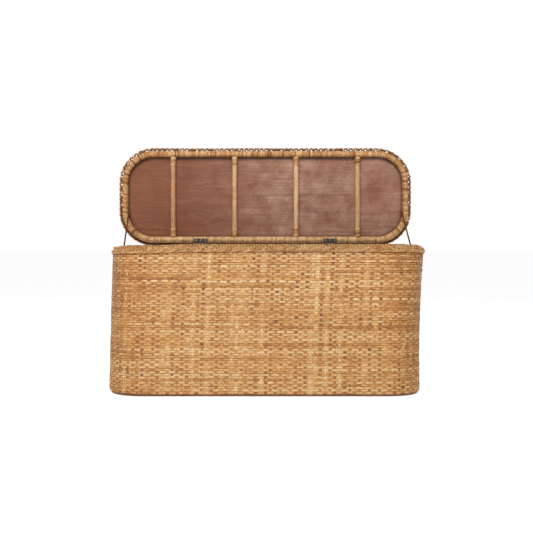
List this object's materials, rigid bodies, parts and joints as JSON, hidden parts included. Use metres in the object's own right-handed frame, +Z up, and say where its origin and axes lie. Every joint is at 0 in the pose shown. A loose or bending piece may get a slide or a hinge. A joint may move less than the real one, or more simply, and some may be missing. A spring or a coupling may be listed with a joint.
{
  "type": "storage ottoman",
  "caption": "Long woven rattan storage bench with rounded ends, a lid hinged along the back and cord stays that hold it open.",
  "frame": {"origin": "middle of the base board's underside, on the ground", "axes": "+Z up, +X along the bench to the right as seen from the front, the front faces -Y"},
  "size_m": [1.116, 0.402, 0.89],
  "materials": {
    "woven_rattan": "matte, natural skin-on rattan strips, unlacquered",
    "cane_binding": "satin cane skin",
    "rattan_pole": "satin peeled rattan pole",
    "stained_plywood": "satin reddish-brown stain",
    "hinge_steel": "dark antique plated steel",
    "bright_steel": "bright zinc plated steel",
    "stay_cord": "dark brown round leather cord"
  },
  "bodies": {
    "base": {"base_board": "stained_plywood", "bottom_rail": "rattan_pole", "middle_rail": "rattan_pole", "top_rail": "rattan_pole", "woven_wall": "woven_rattan", "rim_border": "woven_rattan", "rim_lip": "woven_rattan", "post_left": "rattan_pole", "post_right": "rattan_pole", "post_front_1": "rattan_pole", "post_front_2": "rattan_pole", "post_front_3": "rattan_pole", "post_front_4": "rattan_pole", "post_back_1": "rattan_pole", "post_back_2": "rattan_pole", "post_back_3": "rattan_pole", "post_back_4": "rattan_pole", "post_bindings_bottom": "cane_binding", "post_bindings_top": "cane_binding", "board_screws": "bright_steel", "hinge_base_leaf_left": "hinge_steel", "hinge_base_leaf_right": "hinge_steel", "hinge_pin_left": "hinge_steel", "hinge_pin_right": "hinge_steel", "hinge_base_screws_left": "bright_steel", "hinge_base_screws_right": "bright_steel", "stay_left": "stay_cord", "stay_right": "stay_cord", "stay_tacks_base": "hinge_steel"},
    "lid": {"lid_ring": "rattan_pole", "lid_ring_wrap": "cane_binding", "lid_panel": "stained_plywood", "lid_cover": "woven_rattan", "lid_lace": "woven_rattan", "lid_brace_1": "rattan_pole", "lid_brace_2": "rattan_pole", "lid_brace_3": "rattan_pole", "lid_brace_4": "rattan_pole", "brace_bindings_front": "cane_binding", "brace_bindings_back": "cane_binding", "panel_nails": "bright_steel", "hinge_lid_leaf_left": "hinge_steel", "hinge_lid_leaf_right": "hinge_steel", "hinge_lid_screws_left": "bright_steel", "hinge_lid_screws_right": "bright_steel", "stay_tacks_lid": "hinge_steel"}
  },
  "joints": [
    {"name": "lid_hinge", "type": "hinge", "parent": "base", "child": "lid", "pos_m": [0, 0.17775, 0.52475], "axis": [1, 0, 0], "range_deg": [0, 90], "deforming": ["stay_left", "stay_right"]}
  ]
}
